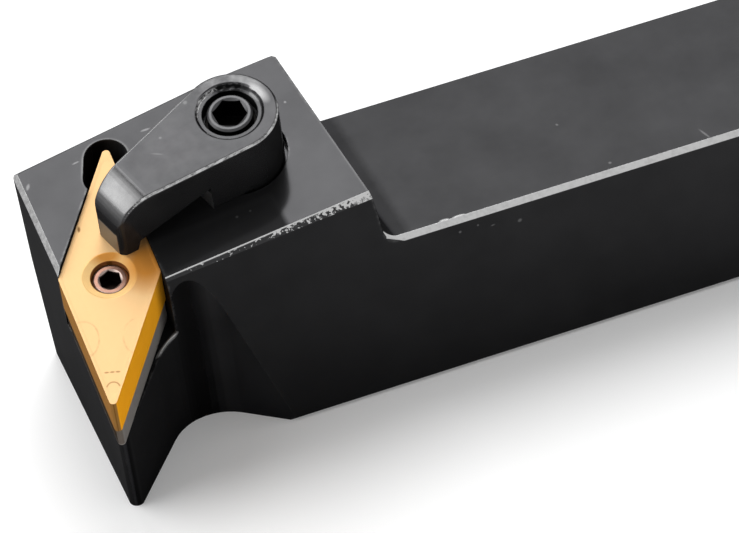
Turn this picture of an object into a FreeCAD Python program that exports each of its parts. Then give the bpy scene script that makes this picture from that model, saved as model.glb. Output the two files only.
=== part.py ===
# External turning tool holder with a 35 degree diamond insert laid across the shank.
# Frame: the origin is the middle of the shank's bottom face, +X runs along the shank to its
# rear end, +Z is up, and the cutting nose points towards -Y. All sizes are in millimetres.
import FreeCAD, Part
import math
import os

from FreeCAD import Placement, Rotation, Vector

# Shank
shank_width = 20.0
shank_height = 20.0
overall_length = 125.0        # cutting nose to rear end, along the shank
head_length = 32.7            # cutting nose to the foot of the head's back wall, on the open side
edge_chamfer = 0.5            # long edges of the shank
edge_run_out = 1.9            # the open side's top chamfer fades out over this length at the head
edge_run_out_rise = 1.0
rear_end_chamfer = 0.6

# Cutting edge: where the nose of the insert stands, and how the insert is tilted
nose_height = 20.0            # above the shank's bottom face
nose_reach = 30.0             # out from the shank's plain side
lead_angle = 93.0             # between the shank and the leading edge
edge_inclination = 11.7       # the leading edge climbs away from the nose
face_rake = 6.9               # the face climbs away from the leading edge

# Insert: a double-sided diamond
inscribed_circle = 9.525
nose_angle = 35.0
nose_radius = 0.4
insert_thickness = 4.76
insert_hole = 3.81
edge_land = 0.2               # flat strip beside each cutting edge
groove_depth = 0.04           # chip groove behind the land
groove_floor = 0.4
groove_rise = 0.8
hole_mouth_diameter = 5.2     # the hole opens out at both faces
hole_mouth_depth = 0.35

# Shim under the insert
shim_thickness = 3.18
shim_inset = 0.15             # how far the shim stays inside the insert's outline
shim_bore = 4.3
shim_counterbore = 5.2
shim_counterbore_depth = 1.2

# Lock pin: screwed into the body, its head stands in the insert's hole
pin_head_clearance = 0.08     # beside the insert's hole, on the radius
pin_head_drop = 0.7           # its top lies this far under the insert's top
pin_collar_clearance = 0.1
pin_collar_height = 1.1
pin_thread = 4.0
pin_thread_length = 7.0
pin_socket = 2.0              # hexagon, over its flats
pin_socket_turn = 23.0        # one of its corners, off the insert's own x axis
pin_socket_depth = 1.6
pin_head_bevel = 0.25

# Head of the body
top_rise = 0.65               # head top above the insert's top, at the pocket's front corner
top_slope_along = 7.3         # head top climbs towards the rear end
top_slope_across = 10.4       # head top climbs towards the plain side
top_side_chamfer = 0.3        # along the head top's plain side
top_open_chamfer = 0.18       # along its open side, at the front
top_open_chamfer_rear = 0.6   # and at the rear, where the edge was broken by hand
top_front_chamfer = 0.5       # along the head top's front edge
wall_corner_chamfer = 0.6     # upright edge between the back wall and the plain side
back_wall_lean = 11.6         # off the vertical
back_wall_skew = 3.4          # the wall's plain side end lies further forward
back_wall_fillet = 1.8
plain_side_taper = 5.05       # plain side of the head, drawn in towards the front
plain_side_lean = 6.4         # and towards the top
plain_side_taper_start = 9.5  # ahead of the back wall's foot, along the head's top
front_corner_radius = 0.4
front_face_relief = 1.4       # front face turned away from the leading edge, at the nose
front_face_setback = 0.45     # behind the leading edge, at the nose
nose_undercut = 1.15          # the body's sharp nose behind the insert's, along that edge
nose_flank_opening = 3.3      # flank under the nose, turned off the insert's trailing edge
body_nose_radius = 0.75
notch_fillet = 5.5            # concave corner between the nose and the shank side
notch_reach = 16.1            # nose vertex to the notch's sharp corner, along the flank
notch_exit_angle = 33.7       # of the notch's second leg, off the insert's short direction
pocket_gap = 0.03             # beside the insert's two seated edges
relief_radius = 2.2           # upright clearance slot at the pocket's back corner
relief_length = 2.25          # between the centres of its two round ends
relief_inset = 2.25           # its rear centre, in from the insert's back corner
relief_heading = 20.3         # off the leading edge

# Top clamp
clamp_height = 6.75           # heel bottom to the flat top
clamp_rear_radius = 4.75
clamp_tip_width = 4.0
clamp_tip_corner = 0.9
clamp_reach = 15.7            # screw axis to the front of the finger
clamp_heel_reach = 5.75       # screw axis to the heel's front wall
clamp_arch_height = 3.3       # under the finger, at the heel
clamp_arch_end_height = 0.65  # under the finger, near the tip
clamp_arch_end = 13.6         # screw axis to where the finger turns down to its pad
clamp_pad_length = 1.2
clamp_nose_bend = 4.0         # radius of the finger's convex end
clamp_tip_overrun = 2.0       # the finger is made this much too long and cut back to the insert
clamp_edge_radius = 0.3
clamp_foot_depth = 0.8        # round foot of the heel, in its recess
clamp_recess_gap = 0.35       # round the foot
clamp_recess_depth = 1.2
clamp_axis_back = 16.3        # screw axis behind the insert's centre, along the shank
clamp_axis_side = 7.0         # screw axis beside the insert's centre, to the plain side
clamp_heading = 195.9         # of the finger, off the shank's rearward direction

# Clamp screw: threaded below its neck, with a hexagon socket in each end
screw_thread = 5.0
screw_neck = 4.5
screw_neck_length = 1.6
screw_length = 20.0
screw_drop = 0.1              # its top under the clamp's flat top
screw_socket = 3.0            # hexagon, over its flats
screw_socket_turn = 17.0      # one of its corners, off the finger's direction
screw_socket_depth = 2.6
screw_end_bevel = 0.2
screw_hole_mouth = 5.5
screw_seat_diameter = 6.7     # shallow dish round the screw
screw_seat_depth = 0.25
thread_gap = 0.04             # between a thread and its hole, on the radius

# Both sockets have a cone at the mouth that leads the key in
socket_mouth_margin = 0.06    # the mouth's radius, past the hexagon's corners
socket_mouth_angle = 30.0     # the cone, off the end face

# Places that follow from the sizes above
shank_length = overall_length - head_length
rear_x = shank_length / 2
foot_x = -shank_length / 2
open_side_y = -shank_width / 2
plain_side_y = shank_width / 2
nose_tip = Vector(rear_x - overall_length, plain_side_y - nose_reach, nose_height)
far = overall_length          # farther than anything on the holder
reach_out = far / 2           # how far a cutter stands out past what it cuts


def rad(angle):
    return math.radians(angle)


def cos(angle):
    return math.cos(rad(angle))


def sin(angle):
    return math.sin(rad(angle))


def tan(angle):
    return math.tan(rad(angle))


def insert_axes():
    """Short direction, leading-edge direction and normal of the tilted insert face."""
    up = Vector(0, 0, 1)
    edge_heading = Vector(cos(180 - lead_angle), sin(180 - lead_angle), 0)
    inward = Vector(sin(180 - lead_angle), -cos(180 - lead_angle), 0)
    along = edge_heading * cos(edge_inclination) + up * sin(edge_inclination)
    lifted = up * cos(edge_inclination) - edge_heading * sin(edge_inclination)
    normal = lifted * cos(face_rake) - inward * sin(face_rake)
    across = inward * cos(face_rake) + lifted * sin(face_rake)
    return across, along, normal


across, along, insert_normal = insert_axes()
half_angle = nose_angle / 2
edge_length = inscribed_circle / sin(nose_angle)
nose_cutback = nose_radius / sin(half_angle) - nose_radius
diagonal = across * sin(half_angle) + along * cos(half_angle)
sharp_nose = nose_tip - diagonal * nose_cutback

# Local frame of the insert: origin at its sharp nose corner on the top face, x across the
# diamond, y along the leading edge, z out of the face
insert_frame = Placement(sharp_nose, Rotation(across, along, insert_normal, "ZXY"))
side_corner = Vector(0, edge_length, 0)
open_corner = Vector(edge_length * sin(nose_angle), edge_length * cos(nose_angle), 0)
back_corner = side_corner + open_corner
insert_centre = back_corner * 0.5
pocket_depth = insert_thickness + shim_thickness
nose_vertex = Vector(front_face_setback, nose_undercut, 0)

# Head top plane, set by its height over the insert at the pocket's front corner
top_normal = Vector(-tan(top_slope_along), -tan(top_slope_across), 1).normalize()
top_point = insert_frame.multVec(open_corner + Vector(0, 0, top_rise))


def on_plane(x, y, point, normal):
    """Point of the plane over the place x, y."""
    z = point.z - (normal.x * (x - point.x) + normal.y * (y - point.y)) / normal.z
    return Vector(x, y, z)


# Local frame of the clamp: origin where the screw's axis meets the head top, x towards the
# finger's tip, z up the screw
pin_head_place = insert_frame.multVec(insert_centre)
clamp_origin = on_plane(
    pin_head_place.x + clamp_axis_back, pin_head_place.y + clamp_axis_side, top_point, top_normal
)
clamp_forward = Vector(cos(clamp_heading), sin(clamp_heading), 0)
clamp_forward = (clamp_forward - top_normal * clamp_forward.dot(top_normal)).normalize()
clamp_frame = Placement(
    clamp_origin, Rotation(clamp_forward, top_normal.cross(clamp_forward), top_normal, "ZXY")
)


def polygon_face(points):
    return Part.Face(Part.makePolygon(points + [points[0]]))


def rounded_polygon(corners):
    """Face of a closed outline. Each corner is (x, y, radius), with 0 for a sharp one."""
    count = len(corners)
    ends = []
    for index in range(count):
        before = Vector(*corners[index - 1][:2])
        here = Vector(*corners[index][:2])
        after = Vector(*corners[(index + 1) % count][:2])
        radius = corners[index][2]
        back = (before - here).normalize()
        ahead = (after - here).normalize()
        if radius == 0:
            ends.append((here, None, here))
            continue
        half = back.getAngle(ahead) / 2
        trim = radius / math.tan(half)
        middle = (back + ahead).normalize()
        nearest = here + middle * (radius / math.sin(half) - radius)
        ends.append((here + back * trim, nearest, here + ahead * trim))
    edges = []
    for index in range(count):
        start, nearest, end = ends[index]
        if nearest is not None:
            edges.append(Part.Arc(start, nearest, end).toShape())
        following = ends[(index + 1) % count][0]
        if (following - end).Length > 1e-6:
            edges.append(Part.LineSegment(end, following).toShape())
    return Part.Face(Part.Wire(edges))


def slab(face, low, high, frame):
    """Extrude a flat outline between two heights of a local frame, and place it there."""
    solid = face.copy()
    solid.translate(Vector(0, 0, low))
    solid = solid.extrude(Vector(0, 0, high - low))
    solid.Placement = frame
    return solid


def round_bar(radius, low, high, frame, centre=Vector(0, 0, 0)):
    bar = Part.makeCylinder(radius, high - low, centre + Vector(0, 0, low))
    bar.Placement = frame
    return bar


def cone(low_radius, high_radius, low, high, frame, centre=Vector(0, 0, 0)):
    piece = Part.makeCone(low_radius, high_radius, high - low, centre + Vector(0, 0, low))
    piece.Placement = frame
    return piece


def hex_socket(across_flats, turn, depth, end_face):
    """Cutter for a hexagon key's socket in a flat end, with a cone at its mouth."""
    flat = across_flats / 2
    reach = flat / cos(30)
    corners = []
    for corner in range(6):
        angle = turn + 60.0 * corner
        corners.append(Vector(reach * cos(angle), reach * sin(angle), 0))
    outline = Part.Face(Part.makePolygon(corners + corners[:1]))
    mouth_radius = reach + socket_mouth_margin
    mouth_depth = (mouth_radius - flat) * tan(socket_mouth_angle)
    mouth = cone(flat, mouth_radius, -mouth_depth, 0, end_face)
    return slab(outline, -depth, 1, end_face).fuse(mouth)


def half_space(point, normal):
    """Everything within reach on the outer side of a plane."""
    helper = Vector(0, 0, 1) if abs(normal.x) > 0.9 else Vector(1, 0, 0)
    side = normal.cross(helper).normalize()
    frame = Placement(point, Rotation(side.cross(normal), side, normal, "ZXY"))
    block = Part.makeBox(2 * far, 2 * far, far, Vector(-far, -far, 0))
    block.Placement = frame
    return block


def edges_on_plane(shape, point, normal, tolerance=1e-3):
    found = []
    for edge in shape.Edges:
        ends = [vertex.Point for vertex in edge.Vertexes]
        if all(abs((place - point).dot(normal)) < tolerance for place in ends):
            found.append(edge)
    return found


def diamond(inset=0.0, corner=nose_radius):
    """Outline of the insert, drawn in by the inset all round."""
    move_acute = inset / sin(half_angle)
    move_obtuse = inset / cos(half_angle)
    long_way = Vector(sin(half_angle), cos(half_angle), 0)
    short_way = Vector(cos(half_angle), -sin(half_angle), 0)
    points = [
        long_way * move_acute,
        open_corner - short_way * move_obtuse,
        back_corner - long_way * move_acute,
        side_corner + short_way * move_obtuse,
    ]
    return rounded_polygon([(place.x, place.y, corner) for place in points])


def frustum(low_inset, low, high_inset, high):
    """Solid between two diamond outlines, each drawn in by its own inset."""
    corner = nose_radius
    lower = diamond(low_inset, corner).OuterWire
    upper = diamond(high_inset, corner).OuterWire
    lower.translate(Vector(0, 0, low))
    upper.translate(Vector(0, 0, high))
    return Part.makeLoft([lower, upper], True, True)


def chip_groove():
    """Ring that is cut from a face: it falls behind the land and rises to the middle."""
    floor_end = edge_land + groove_floor
    rise_end = floor_end + groove_rise
    outer = frustum(floor_end * 0.5 + edge_land * 0.5, -groove_depth, edge_land, 0)
    inner = frustum(floor_end, -groove_depth, rise_end, 0)
    return outer.cut(inner)


def make_insert():
    body = diamond().extrude(Vector(0, 0, -insert_thickness))
    groove = chip_groove()
    mouth = Part.makeCone(
        insert_hole / 2, hole_mouth_diameter / 2, hole_mouth_depth,
        insert_centre - Vector(0, 0, hole_mouth_depth)
    )
    half_way = Vector(0, 0, -insert_thickness / 2)
    for cutter in (groove, mouth):
        body = body.cut(cutter).cut(cutter.mirror(half_way, Vector(0, 0, 1)))
    low = Vector(0, 0, -insert_thickness - 1)
    body = body.cut(Part.makeCylinder(insert_hole / 2, insert_thickness + 2, insert_centre + low))
    body = body.removeSplitter()
    body.Placement = insert_frame
    return body


def make_shim():
    top = -insert_thickness
    bottom = -pocket_depth
    plate = slab(diamond(shim_inset), bottom, top, insert_frame)
    bore = round_bar(shim_bore / 2, bottom - 1, top + 1, insert_frame, insert_centre)
    seat_low = top - shim_counterbore_depth
    seat = round_bar(shim_counterbore / 2, seat_low, top + 1, insert_frame, insert_centre)
    return plate.cut(bore).cut(seat)


def make_lock_pin():
    top = -pin_head_drop
    collar_top = -insert_thickness - (shim_counterbore_depth - pin_collar_height)
    collar_low = -insert_thickness - shim_counterbore_depth
    head_radius = insert_hole / 2 - pin_head_clearance
    bevel_low = top - pin_head_bevel
    face_radius = head_radius - pin_head_bevel
    centre = insert_centre
    head = round_bar(head_radius, collar_low, bevel_low, insert_frame, centre)
    lead = cone(head_radius, face_radius, bevel_low, top, insert_frame, centre)
    collar_radius = shim_counterbore / 2 - pin_collar_clearance
    collar = round_bar(collar_radius, collar_low, collar_top, insert_frame, centre)
    thread_low = -pocket_depth - pin_thread_length
    thread = round_bar(pin_thread / 2, thread_low, collar_low, insert_frame, centre)
    pin = head.fuse([lead, collar, thread]).removeSplitter()
    end_face = insert_frame.multiply(Placement(centre + Vector(0, 0, top), Rotation()))
    return pin.cut(hex_socket(pin_socket, pin_socket_turn, pin_socket_depth, end_face))


def keep_outline():
    """Outline that the head is cut to, drawn in the insert's plane and followed straight down."""
    vertex = nose_vertex
    flank_angle = nose_angle + nose_flank_opening
    flank = Vector(sin(flank_angle), cos(flank_angle), 0)
    corner = vertex + flank * notch_reach
    leg = Vector(cos(notch_exit_angle), -sin(notch_exit_angle), 0)
    leg_end = corner + leg * (2 * far)
    face_way = Vector(-sin(front_face_relief), cos(front_face_relief), 0)
    face_end = vertex + face_way * reach_out
    return rounded_polygon([
        (vertex.x, vertex.y, body_nose_radius),
        (corner.x, corner.y, notch_fillet),
        (leg_end.x, leg_end.y, 0),
        (leg_end.x, leg_end.y + 4 * far, 0),
        (face_end.x, face_end.y, 0),
    ])


def step_cutter():
    """What is taken off above the shank, behind the head's leaning and skewed back wall."""
    rise = reach_out / 2
    face = rounded_polygon([
        (0, 0, back_wall_fillet),
        (far, 0, 0),
        (far, rise, 0),
        (-rise * tan(back_wall_lean), rise, 0),
    ])
    face.rotate(Vector(0, 0, 0), Vector(1, 0, 0), 90)
    cutter = face.extrude(Vector(0, -2 * far, 0))
    cutter.translate(Vector(0, far, 0))
    cutter.rotate(Vector(0, 0, 0), Vector(0, 0, 1), back_wall_skew)
    cutter.translate(Vector(foot_x, open_side_y, shank_height))
    return cutter


def long_edge_cutter(side, top):
    """Chamfer along one of the shank's long edges. The top ones end at the back wall."""
    outward = -1 if side == open_side_y else 1
    slope = Vector(0, outward, 1 if top else -1).normalize()
    level = shank_height if top else 0
    cutter = half_space(Vector(0, side - outward * edge_chamfer, level), slope)
    if not top:
        return cutter
    run_out = Vector(-edge_run_out, 0, edge_run_out_rise)
    end_normal = run_out.cross(slope)
    if end_normal.x > 0:
        end_normal = end_normal * -1
    foot = foot_x if side == open_side_y else foot_x - shank_width * tan(back_wall_skew)
    start = Vector(foot + edge_run_out, side, shank_height - edge_chamfer)
    cutter = cutter.cut(half_space(start, end_normal.normalize()))
    return cutter.cut(half_space(Vector(foot, side, 0), Vector(-1, 0, 0)))


def blank():
    """Shank and head as one bar, with the head's sloping top and the shank's broken edges."""
    front_x = nose_tip.x - reach_out / 2
    height = shank_height + reach_out / 2
    corner = Vector(front_x, open_side_y, 0)
    bar = Part.makeBox(rear_x - front_x, shank_width, height, corner)
    bar = bar.cut(half_space(top_point, top_normal)).cut(step_cutter())
    for side in (open_side_y, plain_side_y):
        for top in (False, True):
            bar = bar.cut(long_edge_cutter(side, top))
    rear_edges = edges_on_plane(bar, Vector(rear_x, 0, 0), Vector(1, 0, 0))
    return bar.makeChamfer(rear_end_chamfer, rear_edges)


def nose_blank():
    """Raw wedge under the insert's nose, which stands out from the shank's open side."""
    wall = back_corner.x + pocket_gap
    spare = nose_undercut + front_face_setback
    deep = 2 * edge_length
    face = polygon_face([
        Vector(-deep, -spare, 0),
        Vector(wall, -spare, 0),
        Vector(wall, deep, 0),
        Vector(-deep, deep, 0),
    ])
    wedge = slab(face, -reach_out, reach_out, insert_frame)
    wedge = wedge.cut(half_space(Vector(0, 0, 0), Vector(0, 0, -1)))
    wedge = wedge.cut(half_space(Vector(0, 0, 0), Vector(0, 1, 0)))
    return wedge.cut(half_space(top_point, top_normal))


def pocket():
    wall = back_corner.x + pocket_gap
    seat = Vector(-cos(nose_angle), sin(nose_angle), 0) * pocket_gap
    seat_way = Vector(-sin(nose_angle), -cos(nose_angle), 0)
    back = back_corner + seat
    back = back - seat_way * ((wall - back.x) / sin(nose_angle))
    seat_end = back + seat_way * (edge_length + 2 * inscribed_circle)
    face = rounded_polygon([
        (back.x, back.y, nose_radius),
        (seat_end.x, seat_end.y, 0),
        (-reach_out, -reach_out, 0),
        (wall, -reach_out, 0),
    ])
    hollow = slab(face, -pocket_depth, reach_out, insert_frame)
    heading = Vector(sin(relief_heading), cos(relief_heading), 0)
    rear = back_corner - Vector(sin(half_angle), cos(half_angle), 0) * relief_inset
    front = rear - heading * relief_length
    rear = insert_frame.multVec(rear)
    front = insert_frame.multVec(front)
    rear = Vector(rear.x, rear.y, 0)
    front = Vector(front.x, front.y, 0)
    way = (rear - front).normalize()
    side = Vector(way.y, -way.x, 0) * relief_radius
    slot = polygon_face([rear + side, rear - side, front - side, front + side])
    slot = slot.extrude(Vector(0, 0, reach_out))
    for centre in (rear, front):
        slot = slot.fuse(Part.makeCylinder(relief_radius, reach_out, centre))
    floor_point = insert_frame.multVec(Vector(0, 0, -pocket_depth))
    return hollow.fuse(slot.cut(half_space(floor_point, insert_normal * -1)))


def bevel(face_point, face_normal, other_point, other_normal, size):
    """Cutter for the chamfer between two flat faces, size being its reach on each of them."""
    spread = face_normal + other_normal
    slant = math.sin(face_normal.getAngle(other_normal))
    level = face_normal.dot(face_point) + other_normal.dot(other_point) - size * slant
    slope = spread / spread.Length
    return half_space(slope * (level / spread.Length), slope)


def open_edge_cutter():
    """Cutter for the head top's open side chamfer, which widens from the front to the rear."""
    front = on_plane(foot_x - head_length, open_side_y, top_point, top_normal)
    rear = on_plane(foot_x, open_side_y, top_point, top_normal)
    along = (rear - front).normalize()
    down = along.cross(Vector(0, -1, 0))
    inward = top_normal.cross(along)
    front_low = front + down * top_open_chamfer
    front_high = front + inward * top_open_chamfer
    rear_low = rear + down * top_open_chamfer_rear
    outward = (rear_low - front_low).cross(front_high - front_low).normalize()
    return half_space(front_low, outward)


def make_holder_body():
    body = blank().fuse(nose_blank())
    keep = slab(keep_outline(), -2 * far, 2 * far, insert_frame)
    body = body.common(keep)
    taper_point = on_plane(
        foot_x - plain_side_taper_start, plain_side_y, top_point, top_normal
    )
    taper_normal = Vector(-tan(plain_side_taper), 1, tan(plain_side_lean)).normalize()
    body = body.cut(half_space(taper_point, taper_normal)).removeSplitter()
    front_point = insert_frame.multVec(nose_vertex)
    front_normal = insert_frame.Rotation.multVec(
        Vector(-cos(front_face_relief), -sin(front_face_relief), 0)
    )
    front_edges = edges_on_plane(body, front_point, front_normal)
    corner_edges = []
    for edge in edges_on_plane(body, taper_point, taper_normal):
        if any(edge.isSame(other) for other in front_edges):
            corner_edges.append(edge)
    for edge in edges_on_plane(body, Vector(0, plain_side_y, 0), Vector(0, 1, 0)):
        if any(edge.isSame(other) for other in front_edges):
            corner_edges.append(edge)
    body = body.makeFillet(front_corner_radius, corner_edges)
    body = body.cut(bevel(front_point, front_normal, top_point, top_normal, top_front_chamfer))
    body = body.cut(bevel(taper_point, taper_normal, top_point, top_normal, top_side_chamfer))
    head_zone = Part.makeBox(
        2 * far, 2 * far, 2 * far, Vector(foot_x - 2 * far, -far, shank_height)
    )
    plain_face = (Vector(0, plain_side_y, 0), Vector(0, 1, 0))
    body = body.cut(open_edge_cutter().common(head_zone))
    cutter = bevel(*plain_face, top_point, top_normal, top_side_chamfer)
    body = body.cut(cutter.common(head_zone))
    wall_normal = Vector(
        cos(back_wall_skew) * cos(back_wall_lean),
        sin(back_wall_skew) * cos(back_wall_lean),
        sin(back_wall_lean),
    )
    wall_foot = Vector(foot_x, open_side_y, shank_height)
    cutter = bevel(wall_foot, wall_normal, *plain_face, wall_corner_chamfer)
    body = body.cut(cutter.common(head_zone))
    body = body.cut(pocket())
    through = 2 * reach_out
    tapped = pin_thread / 2 + thread_gap
    body = body.cut(round_bar(tapped, -through, 1, insert_frame, insert_centre))
    tapped = screw_thread / 2 + thread_gap
    body = body.cut(round_bar(tapped, -through, 1, clamp_frame))
    recess = clamp_rear_radius + clamp_recess_gap
    return body.cut(round_bar(recess, -clamp_recess_depth, 1 + clamp_recess_depth, clamp_frame))


def finger_side():
    """Where one side of the finger leaves the round rear, and where it meets the front."""
    turn = math.degrees(math.asin((clamp_rear_radius - clamp_tip_width / 2) / clamp_reach))
    start = Vector(clamp_rear_radius * sin(turn), clamp_rear_radius * cos(turn), 0)
    end = Vector(clamp_reach, start.y - (clamp_reach - start.x) * tan(turn), 0)
    return start, end


def clamp_plan():
    """Outline of the clamp from above: round at the screw, drawn in to the finger's tip."""
    start, end = finger_side()
    start_across = Vector(start.x, -start.y, 0)
    end_across = Vector(end.x, -end.y, 0)
    rear = Vector(-clamp_rear_radius, 0, 0)
    edges = [
        Part.Arc(start, rear, start_across).toShape(),
        Part.LineSegment(start_across, end_across).toShape(),
        Part.LineSegment(end_across, end).toShape(),
        Part.LineSegment(end, start).toShape(),
    ]
    return Part.Face(Part.Wire(edges))


def tip_corner_cutter():
    """What is taken off one front corner of the finger, to round it from top to bottom."""
    start, end = finger_side()
    back = (start - end).normalize()
    ahead = Vector(0, -1, 0)
    half = back.getAngle(ahead) / 2
    trim = clamp_tip_corner / math.tan(half)
    middle = (back + ahead).normalize()
    nearest = end + middle * (clamp_tip_corner / math.sin(half) - clamp_tip_corner)
    outside = end - middle * clamp_tip_corner
    edges = [
        Part.Arc(end + back * trim, nearest, end + ahead * trim).toShape(),
        Part.LineSegment(end + ahead * trim, outside).toShape(),
        Part.LineSegment(outside, end + back * trim).toShape(),
    ]
    cutter = Part.Face(Part.Wire(edges)).extrude(Vector(0, 0, 3 * clamp_height))
    cutter.translate(Vector(0, 0, -clamp_height))
    return cutter


def clamp_side_face():
    """Side view of the clamp, in its local x and z."""
    bend_start = clamp_reach - clamp_nose_bend
    bend_low = clamp_height - clamp_nose_bend
    low = -clamp_tip_overrun
    top_rear = Vector(-2 * clamp_rear_radius, 0, clamp_height)
    bend_in = Vector(bend_start, 0, clamp_height)
    bend_mid = Vector(
        bend_start + clamp_nose_bend * sin(45), 0, bend_low + clamp_nose_bend * cos(45)
    )
    bend_out = Vector(clamp_reach, 0, bend_low)
    tip_low = Vector(clamp_reach, 0, low)
    pad_rear = Vector(clamp_reach - clamp_pad_length, 0, low)
    pad_top = Vector(clamp_arch_end, 0, clamp_arch_end_height)
    arch_top = Vector(clamp_heel_reach, 0, clamp_arch_height)
    heel_low = Vector(clamp_heel_reach, 0, 0)
    rear_low = Vector(-2 * clamp_rear_radius, 0, 0)
    line = Part.LineSegment
    edges = [
        line(top_rear, bend_in).toShape(),
        Part.Arc(bend_in, bend_mid, bend_out).toShape(),
        line(bend_out, tip_low).toShape(),
        line(tip_low, pad_rear).toShape(),
        line(pad_rear, pad_top).toShape(),
        line(pad_top, arch_top).toShape(),
        line(arch_top, heel_low).toShape(),
        line(heel_low, rear_low).toShape(),
        line(rear_low, top_rear).toShape(),
    ]
    return Part.Face(Part.Wire(edges))


def outer_rim(clamp):
    """Edges round the clamp's flat top, down its bend and down the finger's front corners."""
    rim = []
    for edge in clamp.Edges:
        ends = [vertex.Point for vertex in edge.Vertexes]
        straight = edge.Curve.TypeId == "Part::GeomLine"
        across = straight and abs(ends[0].x - ends[-1].x) < 1e-3 and abs(ends[0].y) > 1e-3
        across = across and abs(ends[0].z - ends[-1].z) < 1e-3
        on_top = min(place.z for place in ends) > clamp_height - clamp_nose_bend - 1e-3
        on_front = min(place.x for place in ends) > clamp_reach - 1e-3
        if (on_top or on_front) and not across:
            rim.append(edge)
    return rim


def make_top_clamp():
    plan = clamp_plan().extrude(Vector(0, 0, 3 * clamp_height))
    plan.translate(Vector(0, 0, -clamp_height))
    side = clamp_side_face().extrude(Vector(0, 4 * clamp_rear_radius, 0))
    side.translate(Vector(0, -2 * clamp_rear_radius, 0))
    clamp = plan.common(side).removeSplitter()
    clamp = clamp.makeFillet(clamp_edge_radius, outer_rim(clamp))
    corner = tip_corner_cutter()
    clamp = clamp.cut(corner).cut(corner.mirror(Vector(0, 0, 0), Vector(0, 1, 0)))
    foot = Part.makeCylinder(
        clamp_rear_radius, clamp_foot_depth + 1, Vector(0, 0, -clamp_foot_depth)
    )
    clamp = clamp.fuse(foot).removeSplitter()
    clamp.Placement = clamp_frame
    under_pad = half_space(sharp_nose, insert_normal * -1)
    tip_zone = Part.makeBox(far, far, far, Vector(clamp_heel_reach, -far / 2, -far / 2))
    tip_zone.Placement = clamp_frame
    clamp = clamp.cut(under_pad.common(tip_zone))
    through = round_bar(screw_thread / 2 + thread_gap, -far, far, clamp_frame)
    mouth_low = clamp_height - screw_drop - screw_neck_length
    mouth = round_bar(screw_hole_mouth / 2, mouth_low, far, clamp_frame)
    dish_low = clamp_height - screw_seat_depth
    dish_radius = screw_seat_diameter / 2
    dish = cone(
        dish_radius - screw_seat_depth, dish_radius, dish_low, clamp_height, clamp_frame
    )
    return clamp.cut(through).cut(mouth).cut(dish)


def make_clamp_screw():
    top = clamp_height - screw_drop
    neck_low = top - screw_neck_length
    low = top - screw_length
    bevel_low = top - screw_end_bevel
    shaft = round_bar(screw_thread / 2, low, neck_low, clamp_frame)
    neck_radius = screw_neck / 2
    neck = round_bar(neck_radius, neck_low, bevel_low, clamp_frame)
    lead = cone(neck_radius, neck_radius - screw_end_bevel, bevel_low, top, clamp_frame)
    screw = shaft.fuse([neck, lead]).removeSplitter()
    upper_end = Placement(Vector(0, 0, top), Rotation())
    lower_end = Placement(Vector(0, 0, low), Rotation(Vector(1, 0, 0), 180))
    for end in (upper_end, lower_end):
        end_face = clamp_frame.multiply(end)
        screw = screw.cut(
            hex_socket(screw_socket, screw_socket_turn, screw_socket_depth, end_face)
        )
    return screw


makers = {
    "holder_body": make_holder_body,
    "shim": make_shim,
    "insert": make_insert,
    "lock_pin": make_lock_pin,
    "top_clamp": make_top_clamp,
    "clamp_screw": make_clamp_screw,
}

os.makedirs("parts", exist_ok=True)
for name, maker in makers.items():
    shape = maker()
    solids = shape.Solids
    if len(solids) != 1:
        raise SystemExit("%s has %d solids" % (name, len(solids)))
    solid = solids[0]
    if not solid.isValid():
        raise SystemExit("%s is not valid" % name)
    solid.exportStep("parts/%s.step" % name)
    print(name, "volume %.1f mm3" % solid.Volume)
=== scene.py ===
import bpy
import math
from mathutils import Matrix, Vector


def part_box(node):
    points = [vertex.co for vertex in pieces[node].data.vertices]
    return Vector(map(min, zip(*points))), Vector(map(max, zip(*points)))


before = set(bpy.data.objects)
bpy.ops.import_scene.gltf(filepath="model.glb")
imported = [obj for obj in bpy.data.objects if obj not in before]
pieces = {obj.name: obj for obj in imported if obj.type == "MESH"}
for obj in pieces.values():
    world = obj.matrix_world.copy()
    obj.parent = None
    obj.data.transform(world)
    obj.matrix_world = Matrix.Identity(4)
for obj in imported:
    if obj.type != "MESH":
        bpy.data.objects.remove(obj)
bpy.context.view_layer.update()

# %% [markdown]
# # An external turning tool holder, dressed for its picture
# A turning tool holder is a square steel shank with a head at its front end. The head holds a
# small hard insert that does the cutting. This one is blackened steel, and the insert is gold.
# The solid model gives six pieces in their right places: the body, the shim, the insert, the
# lock pin, the top clamp and the clamp's screw. Their shapes stay as they are. This lesson
# gives each piece its finish, draws in colour and gloss the wear that is too fine for the
# solid model, paints some light and shade into the colours, and sets the camera, the floor
# and the light.

MM = 0.001
for name in sorted(pieces):
    low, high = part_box(name)
    print(name, "is", [round((b - a) / MM, 1) for a, b in zip(low, high)], "mm")

# %% [markdown]
# ## Colours and nodes
# Each colour here is given as an sRGB hex value, but the renderer adds up light, so it wants
# linear values. One function turns the first into the second. Materials are networks of
# nodes, and one more function adds any node, sets it and links it, so that each finish below
# reads as a list of steps.

# %% Two helpers
def linear(hex_colour):
    """An sRGB hex colour as the linear colour that the renderer uses."""
    channels = [int(hex_colour[place:place + 2], 16) / 255 for place in (1, 3, 5)]
    bent = [c / 12.92 if c <= 0.04045 else ((c + 0.055) / 1.055) ** 2.4 for c in channels]
    return (*bent, 1)


def add(tree, kind, links=None, **settings):
    """Adds a node, sets it, and links or fills its inputs, by name or by number."""
    node = tree.nodes.new("ShaderNode" + kind)
    for name, setting in settings.items():
        setattr(node, name, setting)
    for name, source in (links or {}).items():
        if isinstance(name, int):
            socket = node.inputs[name]
        else:
            socket = [s for s in node.inputs if s.enabled and s.name == name][0]
        if isinstance(source, bpy.types.Node):
            source = [s for s in source.outputs if s.enabled][0]
        if isinstance(source, bpy.types.NodeSocket):
            tree.links.new(source, socket)
        else:
            socket.default_value = source
    return node


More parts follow.
